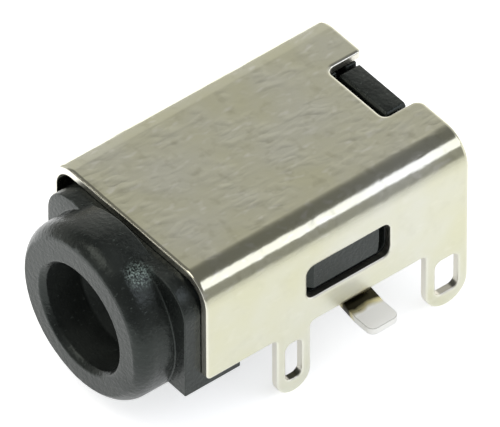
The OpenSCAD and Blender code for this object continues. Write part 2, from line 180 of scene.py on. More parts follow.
def layFloor(s):
    low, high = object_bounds()
    half, sides = s["floorSize"] / 2, s["floorSides"]
    x, y, z = (low.x + high.x) / 2, (low.y + high.y) / 2, low.z
    turns = [t * 2 * pi / sides for t in range(sides)]
    ring = [(x + half * cos(t), y + half * sin(t), z) for t in turns]
    mesh = bpy.data.meshes.new("floor")
    mesh.from_pydata(ring, [], [list(range(sides))])
    floor = bpy.data.objects.new("floor", mesh)
    bpy.context.scene.collection.objects.link(floor)
    dress(floor, floorMaterial(s))
    floor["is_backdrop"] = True


def lightWorld(s):
    # a plain room: pale wall on the left, dim wall on the right, dark ceiling, white paper
    # behind and white below; the eye and clear parts see plain white all round
    world = bpy.data.worlds.new("studio")
    bpy.context.scene.world = world
    world.use_nodes = True
    tree = world.node_tree
    tree.nodes.clear()
    way = addNode(tree, "ShaderNodeTexCoord").outputs["Generated"]
    axes = addNode(tree, "ShaderNodeSeparateXYZ", {0: way}).outputs
    wall = addNode(tree, "ShaderNodeMapRange", {"Value": axes["X"],
                   "From Min": s["leftUntil"], "From Max": s["rightFrom"],
                   "To Min": s["left"], "To Max": s["right"]},
                   interpolation_type="SMOOTHSTEP")
    lean = addNode(tree, "ShaderNodeMath", {0: axes["Y"], 1: s["ceilingLean"],
                   2: axes["Z"]}, operation="MULTIPLY_ADD")
    dark = addNode(tree, "ShaderNodeMapRange", {"Value": lean,
                   "From Min": s["ceilingFrom"], "From Max": s["ceilingWhole"]},
                   interpolation_type="SMOOTHSTEP")
    room = addNode(tree, "ShaderNodeMix", {"Factor": dark, "A": wall, "B": s["overhead"]})
    rise = addNode(tree, "ShaderNodeMapRange", {"Value": axes["Z"],
                   "From Min": s["sweepTop"], "From Max": s["sweepFade"]},
                   interpolation_type="SMOOTHSTEP")
    behind = addNode(tree, "ShaderNodeMapRange", {"Value": axes["Y"],
                     "From Min": s["sweepFrom"], "From Max": s["sweepWhole"],
                     "To Max": rise}, interpolation_type="SMOOTHSTEP")
    sweep = addNode(tree, "ShaderNodeMix", {"Factor": behind, "A": room, "B": s["sweep"]})
    under = addNode(tree, "ShaderNodeMapRange", {"Value": axes["Z"], "From Min": 0.0,
                    "From Max": s["belowWhole"]}, interpolation_type="SMOOTHSTEP")
    low = addNode(tree, "ShaderNodeMix", {"Factor": under, "A": sweep, "B": s["below"]})
    path = addNode(tree, "ShaderNodeLightPath").outputs
    matt = addNode(tree, "ShaderNodeMix", {"Factor": path["Is Diffuse Ray"], "A": low,
                   "B": s["ambient"]})
    seen = addNode(tree, "ShaderNodeMath", {0: path["Is Camera Ray"],
                   1: path["Is Transmission Ray"]}, operation="MAXIMUM")
    level = addNode(tree, "ShaderNodeMix", {"Factor": seen, "A": matt, "B": 1.0})
    warm = addNode(tree, "ShaderNodeMapRange", {"Value": axes["X"],
                   "From Min": s["tintFrom"], "From Max": s["tintWhole"]})
    paint = addNode(tree, "ShaderNodeMix", {"Factor": warm, "A": colour("#ffffff"),
                    "B": colour(s["leftTint"])}, data_type="RGBA")
    plain = addNode(tree, "ShaderNodeMix", {"Factor": seen, "A": paint,
                    "B": colour("#ffffff")}, data_type="RGBA")
    back = addNode(tree, "ShaderNodeBackground", {"Color": plain, "Strength": level})
    addNode(tree, "ShaderNodeOutputWorld", {"Surface": back})


lamps = {
    # name: bearing and height in degrees, distance, width and depth, power, tint
    "keyBox": (-150, 58, 200 * mm, (110 * mm, 110 * mm), 0.064, "#fffaf2"),
    "stripBox": (52, 41, 200 * mm, (150 * mm, 84 * mm), 0.056, "#eceeff"),
}


def hangLamp(name, azimuth, elevation, distance, size, power, tint):
    # a soft box that faces the object from a bearing; azimuth 0 is over +Y, 90 over +X
    a, e = radians(azimuth), radians(elevation)
    toward = Vector((sin(a) * cos(e), cos(a) * cos(e), sin(e)))
    data = bpy.data.lights.new(name, "AREA")
    data.shape, data.size, data.size_y = "RECTANGLE", size[0], size[1]
    data.energy, data.color = power, colour(tint)[:3]
    lamp = bpy.data.objects.new(name, data)
    low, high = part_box("shell")
    lamp.matrix_world = Matrix.Translation((low + high) / 2 + toward * distance) @ (
        toward.to_track_quat("Z", "Y").to_matrix().to_4x4())
    lamp.visible_camera = False
    bpy.context.scene.collection.objects.link(lamp)


placeCamera(camera)
layFloor(studio)
lightWorld(studio)
for name, placing in lamps.items():
    hangLamp(name, *placing)
print("camera, floor and lamps are in place")


edgeTurns = {
    "samples": 6,
    "flat": 0.999,          # cosine of the turn that still counts as flat
    "worn": 0.95,           # and of the turn at which the edge mask is full
}


def edgeMask(tree, radius):
    # 1 where the surface turns sharply within the radius, 0 on the flats
    soft = addNode(tree, "ShaderNodeBevel", {"Radius": radius},
                   samples=edgeTurns["samples"])
    flat = addNode(tree, "ShaderNodeNewGeometry")
    same = addNode(tree, "ShaderNodeVectorMath", {0: soft, 1: flat.outputs["Normal"]},
                   operation="DOT_PRODUCT")
    return addNode(tree, "ShaderNodeMapRange", {"Value": same.outputs["Value"],
                   "From Min": edgeTurns["flat"], "From Max": edgeTurns["worn"]})


# In the finishes below, a detail is how many finer layers a pattern has, and a span is
# the two levels of its noise between which a mark starts and is full.
nickelLook = {
    # edge: painted highlight, the near-white tint that sharp edges and rounds take
    "pale": "#dedecf", "warm": "#dad9be", "tarnish": "#a9a78c", "edge": "#fffef6",
    "cut": "#eeebdf",       # sheared face of the sheet
    "fleck": "#f6f5ec",     # small bright rubs
    "cloud": 1.9 * mm, "cloudDetail": 3.0, "cloudSpan": (0.35, 0.65),    # soft tone patches
    "spot": 0.4 * mm, "spotDetail": 2.0, "spotSpan": (0.56, 0.74), "spotShare": 0.3,
    "fleckSize": 0.2 * mm, "fleckDetail": 1.0, "fleckSpan": (0.6, 0.78), "fleckShare": 0.5,
    "fleckTurn": 0.3, "fleckStretch": 0.5,
    "sideShare": 0.25,      # spots and flecks on the sides; the top has them in full
    "edgeReach": 0.11 * mm,
    "scuff": 0.24 * mm,     # width of one tumbling scuff, drawn a little wide so it shows
    "scuffDetail": 0.5, "scuffSpan": (0.5, 0.85),
    "scuffTurns": (0.2, -0.7), "scuffStretches": (0.42, 0.45),    # two crossing lays
    "scuffDepth": 0.0065 * mm, "scuffRelief": 0.6,
    "patch": 0.95 * mm, "patchDetail": 1.0, "patchSpan": (0.42, 0.6), "patchLeast": 0.15,
    "rough": (0.13, 0.18), "roughSpan": (0.3, 0.7), "cutRough": 0.32,
    "rubFrom": 2.9 * mm, "rubTo": 2.99 * mm, "rub": 0.17,   # duller on the two sides
    "peel": 0.2 * mm, "peelDetail": 2.0, "peelStretch": 0.5,
    "peelDepth": 0.0032 * mm,                               # crinkle where the sheet bends
    "bendOut": (2.3 * mm, 2.7 * mm), "bendUp": (1.3 * mm, 1.7 * mm),
}


def nickelPlate(s):
    # satin nickel on stamped sheet, tumbled: soft mirror, warm grey, short raised scuffs
    # that run mostly along the part, faint olive clouds, edges tinted near white as a painted
    # highlight
    material, tree = newMaterial("satinNickelPlate")
    place = addNode(tree, "ShaderNodeTexCoord").outputs["Object"]
    axes = addNode(tree, "ShaderNodeSeparateXYZ", {0: place}).outputs
    out = addNode(tree, "ShaderNodeMath", {0: axes["X"]}, operation="ABSOLUTE")
    inward = addNode(tree, "ShaderNodeMapRange", {"Value": out, "From Min": s["rubTo"],
                     "From Max": s["rubFrom"], "To Min": s["sideShare"]})

    cloud = addNode(tree, "ShaderNodeTexNoise", {"Vector": place, "Scale": 1 / s["cloud"],
                    "Detail": s["cloudDetail"]})
    warmth = addNode(tree, "ShaderNodeMapRange", {"Value": cloud,
                     "From Min": s["cloudSpan"][0], "From Max": s["cloudSpan"][1]})
    tint = addNode(tree, "ShaderNodeMix", {"Factor": warmth, "A": colour(s["warm"]),
                   "B": colour(s["pale"])}, data_type="RGBA")

    spots = addNode(tree, "ShaderNodeTexNoise", {"Vector": place, "Scale": 1 / s["spot"],
                    "Detail": s["spotDetail"]})
    spotted = addNode(tree, "ShaderNodeMapRange", {"Value": spots,
                      "From Min": s["spotSpan"][0], "From Max": s["spotSpan"][1],
                      "To Max": s["spotShare"]})
    stained = addNode(tree, "ShaderNodeMath", {0: inward, 1: spotted}, operation="MULTIPLY")
    tint = addNode(tree, "ShaderNodeMix", {"Factor": stained, "A": tint,
                   "B": colour(s["tarnish"])}, data_type="RGBA")

    drawn = addNode(tree, "ShaderNodeMapping", {"Vector": place,
                    "Rotation": (0, 0, s["fleckTurn"]), "Scale": (1, s["fleckStretch"], 1)})
    rubs = addNode(tree, "ShaderNodeTexNoise", {"Vector": drawn, "Scale": 1 / s["fleckSize"],
                   "Detail": s["fleckDetail"]})
    bright = addNode(tree, "ShaderNodeMapRange", {"Value": rubs,
                     "From Min": s["fleckSpan"][0], "From Max": s["fleckSpan"][1],
                     "To Max": s["fleckShare"]})
    rubsAndPaintedHighlight = addNode(tree, "ShaderNodeMath", {0: inward, 1: bright}, operation="MULTIPLY")
    tint = addNode(tree, "ShaderNodeMix", {"Factor": rubsAndPaintedHighlight, "A": tint,
                   "B": colour(s["fleck"])}, data_type="RGBA")

    # painted highlight: sharp edges and rounds are tinted near white
    tint = addNode(tree, "ShaderNodeMix", {"Factor": edgeMask(tree, s["edgeReach"]),
                   "A": tint, "B": colour(s["edge"])}, data_type="RGBA")
    cut = addNode(tree, "ShaderNodeAttribute", attribute_name="cutFace").outputs["Fac"]
    tint = addNode(tree, "ShaderNodeMix", {"Factor": cut, "A": tint, "B": colour(s["cut"])},
                   data_type="RGBA")

    marks = []
    for turn, stretch in zip(s["scuffTurns"], s["scuffStretches"]):
        drawn = addNode(tree, "ShaderNodeMapping", {"Vector": place,
                        "Rotation": (0, 0, turn), "Scale": (1, stretch, 1)})
        scuffs = addNode(tree, "ShaderNodeTexNoise", {"Vector": drawn,
                         "Scale": 1 / s["scuff"], "Detail": s["scuffDetail"]})
        marks.append(addNode(tree, "ShaderNodeMapRange", {"Value": scuffs,
                     "From Min": s["scuffSpan"][0], "From Max": s["scuffSpan"][1]}))
    scuffed = addNode(tree, "ShaderNodeMath", {0: marks[0], 1: marks[1]},
                      operation="MAXIMUM")
    patches = addNode(tree, "ShaderNodeTexNoise", {"Vector": place,
                      "Scale": 1 / s["patch"], "Detail": s["patchDetail"]})
    patch = addNode(tree, "ShaderNodeMapRange", {"Value": patches,
                    "From Min": s["patchSpan"][0], "From Max": s["patchSpan"][1],
                    "To Min": s["patchLeast"]})
    height = addNode(tree, "ShaderNodeMath", {0: scuffed, 1: patch, 2: cloud},
                     operation="MULTIPLY_ADD")

    bendOut = addNode(tree, "ShaderNodeMapRange", {"Value": out,
                      "From Min": s["bendOut"][0], "From Max": s["bendOut"][1]})
    bendUp = addNode(tree, "ShaderNodeMapRange", {"Value": axes["Z"],
                     "From Min": s["bendUp"][0], "From Max": s["bendUp"][1]})
    bend = addNode(tree, "ShaderNodeMath", {0: bendOut, 1: bendUp}, operation="MULTIPLY")
    drawn = addNode(tree, "ShaderNodeMapping", {"Vector": place,
                    "Scale": (1, s["peelStretch"], 1)})
    skin = addNode(tree, "ShaderNodeTexNoise", {"Vector": drawn, "Scale": 1 / s["peel"],
                   "Detail": s["peelDetail"]})
    peel = addNode(tree, "ShaderNodeMath", {0: bend, 1: skin}, operation="MULTIPLY")
    crinkle = addNode(tree, "ShaderNodeBump", {"Height": peel, "Strength": 1.0,
                      "Distance": s["peelDepth"]})
    bump = addNode(tree, "ShaderNodeBump", {"Height": height, "Strength": s["scuffRelief"],
                   "Distance": s["scuffDepth"], "Normal": crinkle})

    satin = addNode(tree, "ShaderNodeMapRange", {"Value": cloud,
                    "From Min": s["roughSpan"][0], "From Max": s["roughSpan"][1],
                    "To Min": s["rough"][0], "To Max": s["rough"][1]})
    sides = addNode(tree, "ShaderNodeMapRange", {"Value": out, "From Min": s["rubFrom"],
                    "From Max": s["rubTo"]})
    dull = addNode(tree, "ShaderNodeMath", {0: sides, 1: s["rub"], 2: satin},
                   operation="MULTIPLY_ADD")
    rough = addNode(tree, "ShaderNodeMix", {"Factor": cut, "A": dull, "B": s["cutRough"]})
    metal = addNode(tree, "ShaderNodeBsdfPrincipled", {"Base Color": tint, "Metallic": 1.0,
                    "Roughness": rough, "Normal": bump})
    addNode(tree, "ShaderNodeOutputMaterial", {"Surface": metal})
    return material


nylonLook = {
    "deep": "#151817", "grey": "#252826", "fleck": "#444a47", "edge": "#343937",
    "bloom": 0.9 * mm, "bloomDetail": 3.0, "bloomSpan": (0.35, 0.65),
    "grain": 0.11 * mm,     # etched grain of the mould, a little coarse so it shows
    "grainDetail": 3.0, "grainDepth": 0.028 * mm, "grainRelief": 0.5,
    "glass": 0.06 * mm, "glassDetail": 1.0, "glassSpan": (0.66, 0.78), "glassShare": 0.7,
    "glassStretch": 0.5,
    "edgeReach": 0.05 * mm,
    "rough": (0.2, 0.32), "roughSpan": (0.3, 0.7), "ior": 1.48, "sheen": "#eefaf3",
    "socket": 1.5 * mm, "socketRough": 0.6,     # the core pin left the bore dull
    "socketFade": 0.02 * mm, "mouthFade": 0.05 * mm,
    "rubsAndPaintedHighlight": (1.36 * mm, 0.62 * mm, 2.03 * mm),    # painted highlight: centre of a speckled pale spot on the nose
    "paintedHighlightSize": 0.42 * mm, "paintedHighlightCore": 0.14 * mm,
    "highlightSpeckle": 0.05 * mm, "highlightSpeckleDetail": 2.0, "highlightSpeckleSpan": (0.42, 0.72),
    "highlightTint": "#8fa09a",
}


def blackMoulding(s):
    # glass-filled nylon from an etched mould: near black with a cool grey bloom, pale
    # glass flecks at the skin, a fine grain that breaks up its gloss, greyer rubbed edges
    material, tree = newMaterial("blackGlassNylon")
    place = addNode(tree, "ShaderNodeTexCoord").outputs["Object"]
    bloom = addNode(tree, "ShaderNodeTexNoise", {"Vector": place, "Scale": 1 / s["bloom"],
                    "Detail": s["bloomDetail"]})
    greyed = addNode(tree, "ShaderNodeMapRange", {"Value": bloom,
                     "From Min": s["bloomSpan"][0], "From Max": s["bloomSpan"][1]})
    tint = addNode(tree, "ShaderNodeMix", {"Factor": greyed, "A": colour(s["deep"]),
                   "B": colour(s["grey"])}, data_type="RGBA")

    drawn = addNode(tree, "ShaderNodeMapping", {"Vector": place,
                    "Scale": (1, s["glassStretch"], 1)})
    glass = addNode(tree, "ShaderNodeTexNoise", {"Vector": drawn, "Scale": 1 / s["glass"],
                    "Detail": s["glassDetail"]})
    flecks = addNode(tree, "ShaderNodeMapRange", {"Value": glass,
                     "From Min": s["glassSpan"][0], "From Max": s["glassSpan"][1],
                     "To Max": s["glassShare"]})
    tint = addNode(tree, "ShaderNodeMix", {"Factor": flecks, "A": tint,
                   "B": colour(s["fleck"])}, data_type="RGBA")
    tint = addNode(tree, "ShaderNodeMix", {"Factor": edgeMask(tree, s["edgeReach"]),
                   "A": tint, "B": colour(s["edge"])}, data_type="RGBA")

    # painted highlight: pale speckles tinted into a spot on the nose, where a lamp's gloss falls
    away = addNode(tree, "ShaderNodeVectorMath", {0: place, 1: s["rubsAndPaintedHighlight"]},
                   operation="DISTANCE")
    close = addNode(tree, "ShaderNodeMapRange", {"Value": away.outputs["Value"],
                    "From Min": s["paintedHighlightSize"], "From Max": s["paintedHighlightCore"]})
    highlightNoise = addNode(tree, "ShaderNodeTexNoise", {"Vector": place, "Scale": 1 / s["highlightSpeckle"],
                     "Detail": s["highlightSpeckleDetail"]})
    highlightSpeckles = addNode(tree, "ShaderNodeMapRange", {"Value": highlightNoise,
                    "From Min": s["highlightSpeckleSpan"][0], "From Max": s["highlightSpeckleSpan"][1]})
    paintedHighlight = addNode(tree, "ShaderNodeMath", {0: close, 1: highlightSpeckles}, operation="MULTIPLY")
    tint = addNode(tree, "ShaderNodeMix", {"Factor": paintedHighlight, "A": tint,
                   "B": colour(s["highlightTint"])}, data_type="RGBA")

    grain = addNode(tree, "ShaderNodeTexNoise", {"Vector": place, "Scale": 1 / s["grain"],
                    "Detail": s["grainDetail"]})
    bump = addNode(tree, "ShaderNodeBump", {"Height": grain, "Strength": s["grainRelief"],
                   "Distance": s["grainDepth"]})
    level = addNode(tree, "ShaderNodeMapping", {"Vector": place, "Scale": (1, 0, 1)})
    reach = addNode(tree, "ShaderNodeVectorMath", {0: level}, operation="LENGTH")
    within = addNode(tree, "ShaderNodeMapRange", {"Value": reach.outputs["Value"],
                     "From Min": s["socket"], "From Max": s["socket"] - s["socketFade"]})
    axes = addNode(tree, "ShaderNodeSeparateXYZ", {0: place}).outputs
    behind = addNode(tree, "ShaderNodeMapRange", {"Value": axes["Y"], "From Min": 0.0,
                     "From Max": s["mouthFade"]})
    inside = addNode(tree, "ShaderNodeMath", {0: within, 1: behind}, operation="MULTIPLY")
    glossy = addNode(tree, "ShaderNodeMapRange", {"Value": bloom,
                     "From Min": s["roughSpan"][0], "From Max": s["roughSpan"][1],
                     "To Min": s["rough"][0], "To Max": s["rough"][1]})
    rough = addNode(tree, "ShaderNodeMix", {"Factor": inside, "A": glossy,
                    "B": s["socketRough"]})
    plastic = addNode(tree, "ShaderNodeBsdfPrincipled", {"Base Color": tint,
                      "IOR": s["ior"], "Roughness": rough, "Normal": bump,
                      "Specular Tint": colour(s["sheen"])})
    addNode(tree, "ShaderNodeOutputMaterial", {"Surface": plastic})
    return material


stripLook = {
    # tin: frosted tin's pale colour raised to near white, partly a painted highlight
    "tin": "#fffffa", "gold": "#efe6bb", "stain": "#cbc194", "paintedShade": "#3b382b",
    "from": 3.34 * mm, "to": 3.46 * mm,     # how far out along X the tin of the foot begins
    "rearFrom": 9.66 * mm, "rearTo": 9.78 * mm,     # and along Y for the terminal's foot
    "paintedShadeFrom": 3.32 * mm, "paintedShadeTo": 3.24 * mm,     # painted shade: dark band on the foot close to the shell
    "paintedShadeStart": 2.8 * mm, "paintedShadeFade": 0.1 * mm,
    "cloud": 0.4 * mm, "cloudDetail": 3.0, "stainSpan": (0.4, 0.7),
    "ripple": 0.2 * mm,     # how far the edge of the tin wanders
    "rolling": 0.03 * mm, "rollingDetail": 1.0, "rollingStretch": 0.12,
    "rollingDepth": 0.002 * mm, "rollingRelief": 0.4,
    "rough": (0.24, 0.34), "roughSpan": (0.3, 0.7), "tinRough": 0.5,
    "tinMetal": 0.1,        # mostly non-metallic: frosted tin's matt look, and a painted highlight that keeps the end white
    "rimShade": "#a3a499", "rimShadeReach": 0.035 * mm,        # painted shade: grey along the tin's rounded edges
}


def platedStrip(s):
    # phosphor bronze strip with a thin gold flash, tin dipped at the solder foot: yellow
    # where the flash shows, frosted white tin at the end, partly a painted highlight, fine
    # rolling lines along X; painted shade as a dark band close to the shell and a grey line
    # round the tin's rounded edges
    material, tree = newMaterial("tinDippedStrip")
    place = addNode(tree, "ShaderNodeTexCoord").outputs["Object"]
    axes = addNode(tree, "ShaderNodeSeparateXYZ", {0: place}).outputs
    cloud = addNode(tree, "ShaderNodeTexNoise", {"Vector": place, "Scale": 1 / s["cloud"],
                    "Detail": s["cloudDetail"]})
    wavy = addNode(tree, "ShaderNodeMath", {0: cloud, 1: s["ripple"], 2: axes["X"]},
                   operation="MULTIPLY_ADD")
    dipSide = addNode(tree, "ShaderNodeMapRange", {"Value": wavy, "From Min": s["from"],
                      "From Max": s["to"]})
    wavyRear = addNode(tree, "ShaderNodeMath", {0: cloud, 1: s["ripple"], 2: axes["Y"]},
                       operation="MULTIPLY_ADD")
    dipRear = addNode(tree, "ShaderNodeMapRange", {"Value": wavyRear,
                      "From Min": s["rearFrom"], "From Max": s["rearTo"]})
    dip = addNode(tree, "ShaderNodeMath", {0: dipSide, 1: dipRear}, operation="MAXIMUM")
    stained = addNode(tree, "ShaderNodeMapRange", {"Value": cloud,
                      "From Min": s["stainSpan"][0], "From Max": s["stainSpan"][1]})
    flash = addNode(tree, "ShaderNodeMix", {"Factor": stained, "A": colour(s["gold"]),
                    "B": colour(s["stain"])}, data_type="RGBA")
    # painted shade: the flash turns dark close to the shell, where the shell's edge shades the
    # foot
    nearShell = addNode(tree, "ShaderNodeMapRange", {"Value": wavy,
                        "From Min": s["paintedShadeFrom"], "From Max": s["paintedShadeTo"]})
    outside = addNode(tree, "ShaderNodeMapRange", {"Value": axes["X"],
                      "From Min": s["paintedShadeStart"],
                      "From Max": s["paintedShadeStart"] + s["paintedShadeFade"]})
    paintedShadeMask = addNode(tree, "ShaderNodeMath", {0: nearShell, 1: outside},
                     operation="MULTIPLY")
    flash = addNode(tree, "ShaderNodeMix", {"Factor": paintedShadeMask, "A": flash,
                    "B": colour(s["paintedShade"])}, data_type="RGBA")
    # painted shade: a grey line where the tin end's edges round over
    dipped = addNode(tree, "ShaderNodeMix", {"Factor": edgeMask(tree, s["rimShadeReach"]),
                     "A": colour(s["tin"]), "B": colour(s["rimShade"])}, data_type="RGBA")
    tint = addNode(tree, "ShaderNodeMix", {"Factor": dip, "A": flash, "B": dipped},
                   data_type="RGBA")
    drawn = addNode(tree, "ShaderNodeMapping", {"Vector": place,
                    "Scale": (s["rollingStretch"], 1, 1)})
    lines = addNode(tree, "ShaderNodeTexNoise", {"Vector": drawn, "Scale": 1 / s["rolling"],
                    "Detail": s["rollingDetail"]})
    bump = addNode(tree, "ShaderNodeBump", {"Height": lines, "Strength": s["rollingRelief"],
                   "Distance": s["rollingDepth"]})
    satin = addNode(tree, "ShaderNodeMapRange", {"Value": cloud,
                    "From Min": s["roughSpan"][0], "From Max": s["roughSpan"][1],
                    "To Min": s["rough"][0], "To Max": s["rough"][1]})
    rough = addNode(tree, "ShaderNodeMix", {"Factor": dip, "A": satin, "B": s["tinRough"]})
    # partly painted highlight: the tin end is mostly non-metallic so its near-white colour shows
    sheen = addNode(tree, "ShaderNodeMix", {"Factor": dip, "A": 1.0, "B": s["tinMetal"]})
    metal = addNode(tree, "ShaderNodeBsdfPrincipled", {"Base Color": tint, "Metallic": sheen,
                    "Roughness": rough, "Normal": bump})
    addNode(tree, "ShaderNodeOutputMaterial", {"Surface": metal})
    return material


brassLook = {
    "plate": "#dcd8c6", "worn": "#cfc6a4",
    "ring": 0.03 * mm, "ringDetail": 2.0, "ringStretch": 0.05,      # tool marks
    "ringDepth": 0.002 * mm, "ringRelief": 0.6,
    "cloud": 0.5 * mm, "cloudDetail": 2.0, "wornSpan": (0.35, 0.7),
    "rough": (0.14, 0.26), "roughSpan": (0.3, 0.7),
}


def turnedBrass(s):
    # free-cutting brass, turned and nickel plated: rings of tool marks round its length
    material, tree = newMaterial("platedTurnedBrass")
    place = addNode(tree, "ShaderNodeTexCoord").outputs["Object"]
    drawn = addNode(tree, "ShaderNodeMapping", {"Vector": place,
                    "Scale": (s["ringStretch"], 1, s["ringStretch"])})
    rings = addNode(tree, "ShaderNodeTexNoise", {"Vector": drawn, "Scale": 1 / s["ring"],
                    "Detail": s["ringDetail"]})
    cloud = addNode(tree, "ShaderNodeTexNoise", {"Vector": place, "Scale": 1 / s["cloud"],
                    "Detail": s["cloudDetail"]})
    worn = addNode(tree, "ShaderNodeMapRange", {"Value": cloud,
                   "From Min": s["wornSpan"][0], "From Max": s["wornSpan"][1]})
    tint = addNode(tree, "ShaderNodeMix", {"Factor": worn, "A": colour(s["plate"]),
                   "B": colour(s["worn"])}, data_type="RGBA")
    bump = addNode(tree, "ShaderNodeBump", {"Height": rings, "Strength": s["ringRelief"],
                   "Distance": s["ringDepth"]})
    rough = addNode(tree, "ShaderNodeMapRange", {"Value": rings,
                    "From Min": s["roughSpan"][0], "From Max": s["roughSpan"][1],
                    "To Min": s["rough"][0], "To Max": s["rough"][1]})
    metal = addNode(tree, "ShaderNodeBsdfPrincipled", {"Base Color": tint, "Metallic": 1.0,
                    "Roughness": rough, "Normal": bump})
    addNode(tree, "ShaderNodeOutputMaterial", {"Surface": metal})
    return material


nickel = nickelPlate(nickelLook)
moulding = blackMoulding(nylonLook)
strip = platedStrip(stripLook)
brass = turnedBrass(brassLook)
print("finishes are mixed")


def frozen(piece):
    # the piece with its modifiers worked in, as a plain mesh
    bpy.context.view_layer.update()
    solved = piece.evaluated_get(bpy.context.evaluated_depsgraph_get())
    mesh = bpy.data.meshes.new_from_object(solved)
    piece.modifiers.clear()
    piece.data = mesh
    return piece


def newPiece(name, mesh, material):
    piece = bpy.data.objects.new(name, mesh)
    bpy.context.scene.collection.objects.link(piece)
    if material is not None:
        dress(piece, material)
    for face in mesh.polygons:
        face.use_smooth = True
    return piece


crispFrom = 38      # degrees between two faces past which their edge stays a crisp line


def evenShading(piece):
    # flats keep flat normals, so only the rounded edges catch the light; edges left square
    # stay crisp
    bm = bmesh.new()
    bm.from_mesh(piece.data)
    for edge in bm.edges:
        edge.smooth = edge.calc_face_angle(0.0) < radians(crispFrom)
    bm.to_mesh(piece.data)
    bm.free()
    shade = piece.modifiers.new("evenShading", "WEIGHTED_NORMAL")
    shade.keep_sharp = True
    return frozen(piece)


# The shell is cut flat, as a press tool cuts it, then folded by the node tree.
blank = {
    "sheet": 0.22 * mm,
    "foldInside": 0.6 * mm,
    "foldCuts": 14,                  # strips across each fold
    "rollWide": 0.1 * mm,            # round edge that the punch leaves outside
    "rollDeep": 0.045 * mm,
    "rollCuts": 7,
    "burr": 0.006 * mm,              # small break of the edge inside
    "sideEdge": 3.11 * mm,           # top face down to the sides' bottom edge
    "cornerRound": 0.15 * mm,
    # for each tab, how far back it starts, its width, and its hole's width and height
    "tabs": ((2.17 * mm, 1.04 * mm, 0.51 * mm, 1.2 * mm),
             (6.82 * mm, 1.3 * mm, 0.73 * mm, 1.12 * mm)),
    "tabFillet": 0.14 * mm,
    "holeFoot": 0.43 * mm,           # sheet left between a tab's tip and its hole
    "holeRound": 0.2 * mm,
    # how far back it starts and how far up from the bottom edge, its length and height
    "window": (3.09 * mm, 0.78 * mm, 2.6 * mm, 1.05 * mm),
    "windowRound": 0.24 * mm,
    "notch": (2.2 * mm, 1.1 * mm),   # width, depth
    "notchRound": 0.2 * mm,
    "mouthRound": (0.11 * mm, 0.24 * mm),       # corners where the notch opens: left, right
    "arcLeast": 4,                   # strips in the smallest round corner
    "arcStep": 0.05 * mm,            # and the radius that adds one more
    "same": 1e-7,                    # metres; nearer points are one
    "onCut": 1e-8,                   # metres; a point this near a fold's line lies on it
    "fillScale": 1000,               # the sheet's two faces are filled in millimetres,
    "fillSame": 1e-5,                # where nearer points are one
}


def roundedLoop(s, corners, cuts=()):
    # closed outline with round right-angled corners, as (place, outward) pairs, with a
    # point wherever it crosses one of the folds' lines
    loop = []
    for i, (across, along, r) in enumerate(corners):
        here = Vector((across, along))
        back = (Vector(corners[i - 1][:2]) - here).normalized()
        ahead = (Vector(corners[(i + 1) % len(corners)][:2]) - here).normalized()
        outward = Vector((-back.y, back.x))
        side = 1 if back.cross(ahead) < 0 else -1
        middle = here + (back + ahead) * r
        steps = s["arcLeast"] + int(r / s["arcStep"])
        for k in range(steps + 1):
            a = side * k / steps * pi / 2
            n = Vector((outward.x * cos(a) - outward.y * sin(a),
                        outward.x * sin(a) + outward.y * cos(a)))
            loop.append((middle + n * side * r, n))
    tidy = [p for i, p in enumerate(loop) if (p[0] - loop[i - 1][0]).length > s["same"]]
    full = []
    for i, (p, n) in enumerate(tidy):
        q = tidy[(i + 1) % len(tidy)][0]
        full.append((p, n))
        start, end = min(p.x, q.x) + s["onCut"], max(p.x, q.x) - s["onCut"]
        inside = [c for c in cuts if start < c < end]
        for c in sorted(inside, reverse=q.x < p.x):
            full.append((p.lerp(q, (c - p.x) / (q.x - p.x)), n))
    return full


def blankLoops(s, front, rear, flatHalf, foldLength):
    # outline of the flat blank and of every opening in it
    cuts = [sign * (flatHalf + foldLength * k / s["foldCuts"])
            for sign in (-1, 1) for k in range(s["foldCuts"] + 1)]
    low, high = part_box("shell")
    outer = s["foldInside"] + s["sheet"]
    edge = flatHalf + foldLength + s["sideEdge"] - outer
    tip = flatHalf + foldLength + high.z - outer - low.z
    half, openings = [(edge, front, s["cornerRound"])], []
    for back, width, holeWidth, holeHeight in s["tabs"]:
        near, off, r = front + back, front + back + width, s["tabFillet"]
        half += [(edge, near, r), (tip, near, width / 2), (tip, off, width / 2)]
        if off < rear - 2 * r:      # the rear tab ends flush with the sheet, with no fillet
            half.append((edge, off, r))
        openings.append((tip - s["holeFoot"] - holeHeight, near + (width - holeWidth) / 2,
                         holeHeight, holeWidth, s["holeRound"]))
    wide, deep = s["notch"][0] / 2, rear - s["notch"][1]
    right = half + [(wide, rear, s["mouthRound"][1]), (wide, deep, s["notchRound"])]
    left = half + [(wide, rear, s["mouthRound"][0]), (wide, deep, s["notchRound"])]
    loops = [roundedLoop(s, right + [(-x, y, r) for x, y, r in reversed(left)], cuts)]
    back, up, length, height = s["window"]
    openings.append((edge - up - height, front + back, height, length, s["windowRound"]))
    for x, y, w, h, r in openings:
        ring = [(x, y, r), (x, y + h, r), (x + w, y + h, r), (x + w, y, r)]
        loops.append(roundedLoop(s, ring))
        loops.append(roundedLoop(s, [(-a, b, c) for a, b, c in reversed(ring)]))
    return loops, cuts


